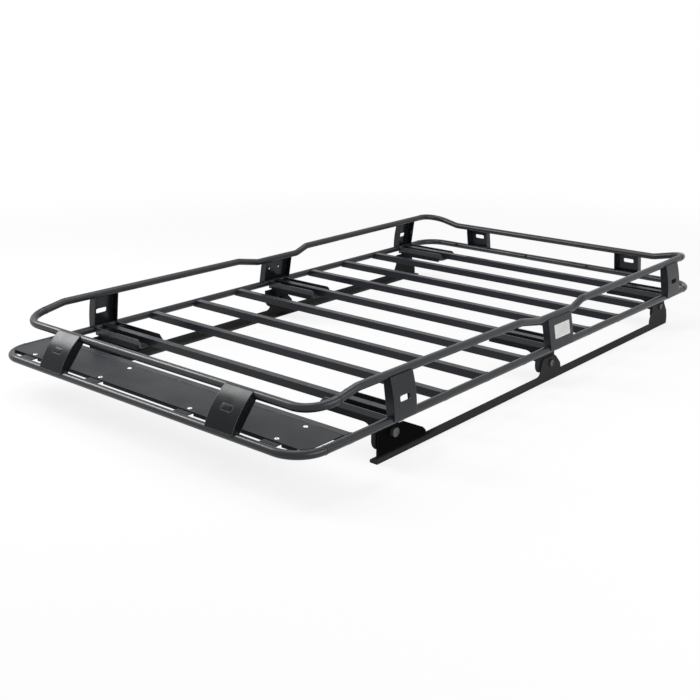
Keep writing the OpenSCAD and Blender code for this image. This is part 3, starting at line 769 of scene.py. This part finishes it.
# %% Bolt materials
def zinc_finish():
    """Bright zinc plating: metal with cloudy yellowish patches and very fine scratches."""
    material, tree, shader = start_material("bright_zinc", 0.5)
    shader.inputs["Metallic"].default_value = 1.0
    place = tree.nodes.new("ShaderNodeTexCoord").outputs["Object"]
    clouds = stretch(tree, noise(tree, place, 260.0, 3.0), 0.35, 0.65)
    tree.links.new(mix_colours(tree, clouds, (0.66, 0.65, 0.6), (0.82, 0.81, 0.78)),
                   shader.inputs["Base Color"])
    tree.links.new(stretch(tree, noise(tree, place, 900.0, 3.0), 0.3, 0.7, 0.22, 0.38),
                   shader.inputs["Roughness"])
    edges = place_group(tree, EDGES)
    tree.links.new(relief_on(tree, noise(tree, place, 1500.0, 2.0), edges.outputs["Normal"],
                             0.25, 0.05), shader.inputs["Normal"])
    return material


def cap_plastic():
    """Black moulded plastic with a fine spark-eroded grain."""
    material, tree, shader = start_material("cap_black", 0.5)
    place = tree.nodes.new("ShaderNodeTexCoord").outputs["Object"]
    mottle = stretch(tree, noise(tree, place, 90.0, 4.0), 0.35, 0.65)
    tree.links.new(mix_colours(tree, mottle, (0.026, 0.0265, 0.028), (0.036, 0.0365, 0.038)),
                   shader.inputs["Base Color"])
    tree.links.new(stretch(tree, mottle, 0.0, 1.0, 0.28, 0.38), shader.inputs["Roughness"])
    tree.links.new(relief_on(tree, noise(tree, place, 1300.0, 2.0), None, 0.4, 0.06),
                   shader.inputs["Normal"])
    return material


ZINC = zinc_finish()
CAP = cap_plastic()
print("finishes:", ZINC.name, CAP.name)

# %% Plate bolts
PLATE_TOP, TAB_UNDER, SEAT = 144.0, 138.8, 0.05
HOLE_XS, HOLE_YS = (1124.0, 1014.0), (200.0, 535.0)
plate_parts = []
for x in HOLE_XS:
    for y in HOLE_YS:
        plate_parts.append(turned(button_head(), (x, y, PLATE_TOP + SEAT), (0, 0, 1)))
        plate_parts.append(turned(hex_nut(10.0, 5.0), (x, y, TAB_UNDER - SEAT), (0, 0, -1)))
gather("plate_bolts", both_sides(plate_parts), ZINC, FLAT_ANGLE)

# %% [markdown]
# ## Caps on the bracket bolts
#
# The bolts through the ears are covered by round black caps, like short knobs with a rounded rim
# and a shallow dish in the face, and the front ones are the largest. They are turned in the same
# way. The nuts on the inner side of the brackets are plain, and painted dark.

# %% Bracket caps and nuts
EAR_BOLTS = [(762.0, 79.0, 14.5, 13.0), (-98.0, 64.0, 11.5, 9.0), (-938.0, 86.0, 11.5, 9.0)]
EAR_OUT_Y, EAR_IN_Y = 633.0, 625.8


def cap_profile(radius, height):
    """A straight wall, a rounded rim and a dished face."""
    rim = [(radius - 3 + 3 * math.cos(t), height - 3 + 3 * math.sin(t), 0)
           for t in np.linspace(0, math.pi / 2, 6)]
    dish = [(radius - 4.2, height - 0.3, 0), (radius - 6, height - 1.0, 0),
            (radius - 8.5, height - 1.5, 0), (1.5, height - 1.7, 0)]
    return [(radius - 1, 0, 0), (radius, 0.6, 0)] + rim + dish


cap_parts, nut_parts = [], []
for x, z, radius, height in EAR_BOLTS:
    cap_parts.append(turned(cap_profile(radius, height), (x, EAR_OUT_Y + SEAT, z), (0, 1, 0)))
    nut_parts.append(turned(hex_nut(17.0, 8.0), (x, EAR_IN_Y - SEAT, z), (0, -1, 0)))
gather("bracket_caps", both_sides(cap_parts), CAP)
gather("bracket_nuts", both_sides(nut_parts), COATS["foot_coat"], FLAT_ANGLE)

# %% [markdown]
# ## The plate on the near middle post
#
# The middle post on the near side carries a small pale plate over its two holes. It is a thin
# enamelled sheet with rounded corners and a softly rounded rim, and it is left plain. Its outline
# is a rounded rectangle: the four corner arcs of one circle, moved apart. Rings of that outline,
# each a little smaller and further out, make the rim.

# %% Badge plate
BADGE_W, BADGE_H, BADGE_T, BADGE_R, BADGE_RIM = 97.0, 47.0, 1.6, 3.5, 0.8
BADGE_AT, BADGE_UP = -104.0, 52.5
OUTLINE_POINTS = 48
PLATE_ANGLE = math.radians(30)


def rounded_plate(place, width, height, thick, corner, rim):
    """A closed plate in a post's own directions: rings of its outline from back to face.

    A ring's point is (sign(cos t) * (width / 2 - corner) + r * cos t) across and the same with
    sin t and the height upwards. The rim is a quarter circle, on which r shrinks.
    """
    t = np.linspace(0, 2 * np.pi, OUTLINE_POINTS, endpoint=False) + 1e-6
    corner_u = np.sign(np.cos(t)) * (width / 2 - corner)
    corner_v = np.sign(np.sin(t)) * (height / 2 - corner)
    rows = [(0.0, 0.0), (0.0, thick - rim)]
    rows += [(rim * (1 - math.cos(a)), thick - rim + rim * math.sin(a))
             for a in np.linspace(0.4, math.pi / 2, 4)]
    rings = []
    for inset, out in rows:
        r = corner - inset
        rings.append(place((corner_u + r * np.cos(t))[:, None], out,
                           (corner_v + r * np.sin(t))[:, None]))
    count = len(t)
    points = np.vstack(rings + [place(0.0, 0.0, 0.0), place(0.0, thick, 0.0)])
    j = np.arange(count)
    k = (j + 1) % count
    base = len(rows) * count
    back = np.stack([np.full(count, base), k, j], axis=-1)
    face = np.stack([np.full(count, base + 1), j + base - count, k + base - count], axis=-1)
    return points, ring_faces(len(rows), count).tolist() + back.tolist() + face.tolist()


def enamel_finish():
    """Pale baked enamel: glossy, with a faint mottle and a barely wavy skin."""
    material, tree, shader = start_material("pale_enamel", 0.5)
    place = tree.nodes.new("ShaderNodeTexCoord").outputs["Object"]
    mottle = stretch(tree, noise(tree, place, 40.0, 4.0), 0.3, 0.7)
    tree.links.new(mix_colours(tree, mottle, (0.50, 0.495, 0.49), (0.57, 0.565, 0.56)),
                   shader.inputs["Base Color"])
    tree.links.new(stretch(tree, mottle, 0.0, 1.0, 0.2, 0.3), shader.inputs["Roughness"])
    edges = place_group(tree, EDGES)
    tree.links.new(relief_on(tree, noise(tree, place, 120.0, 2.0), edges.outputs["Normal"],
                             0.2, 0.05), shader.inputs["Normal"])
    return material


lean_place = leaning((BADGE_AT, SIDE_Y, TUBE_Z), (0, RAIL_Y - SIDE_Y, RAIL_RISE[-100.0]),
                     (0, 1, 0))[0]


def on_badge(along, outward, upward):
    """A place on the badge: along towards the rear, out of the post's face and up the post."""
    return lean_place(along, SHEET_IN + POST_T + SEAT + outward, BADGE_UP + upward)


gather("badge_plate", [rounded_plate(on_badge, BADGE_W, BADGE_H, BADGE_T, BADGE_R, BADGE_RIM)],
       enamel_finish(), PLATE_ANGLE)

# %% [markdown]
# ## Dark plugs in the front posts' windows: painted shade
#
# The windows of the front posts read dark, with what lies in shade behind them, and that shade is
# painted here: each window is closed with a flush plug of the post's own black, so it reads as an
# outline in the paint. The plug is the same rounded plate as above, laid on the post's bow, with
# a wider flange behind the sheet that holds it.

# %% Window plugs
PLUG_W, PLUG_H, PLUG_UP = 43.4, 19.4, 65.0
BOW, POST_LOW, POST_HIGH = 9.0, -1.0, 128.5
PLUG_R, FLANGE_EDGE, FLANGE_T = 5.3, 6.0, 0.95
front_place = leaning((FRONT_X, END_POST_Y, TUBE_Z), FRONT_RISE, (1, 0, 0))[0]


def bow_drop(upward):
    """How far a bowed sheet lies behind its crown: r - sqrt(r * r - d * d) on an arc."""
    half = (POST_HIGH - POST_LOW) / 2
    radius = (half ** 2 + BOW ** 2) / (2 * BOW)
    return radius - np.sqrt(radius ** 2 - (upward - (POST_LOW + POST_HIGH) / 2) ** 2)


def on_front_post(base):
    """A function that gives a place on the front post's window, from a depth at its crown."""
    def place(along, outward, upward):
        height = upward + PLUG_UP
        return front_place(along, base + outward - bow_drop(height), height)
    return place


crown = SHEET_IN + BOW
# The plug and its flange are dark sheets that paint the shade seen through the window.
plug = rounded_plate(on_front_post(crown), PLUG_W, PLUG_H, POST_T - 0.15, PLUG_R, 0.8)
flange = rounded_plate(on_front_post(crown - FLANGE_T - SEAT), PLUG_W + FLANGE_EDGE,
                       PLUG_H + FLANGE_EDGE, FLANGE_T, PLUG_R + FLANGE_EDGE / 2 - 0.3, 0.4)
gather("front_post_window_shade_plugs", both_sides([plug, flange]), FRONT_POST, PLATE_ANGLE)
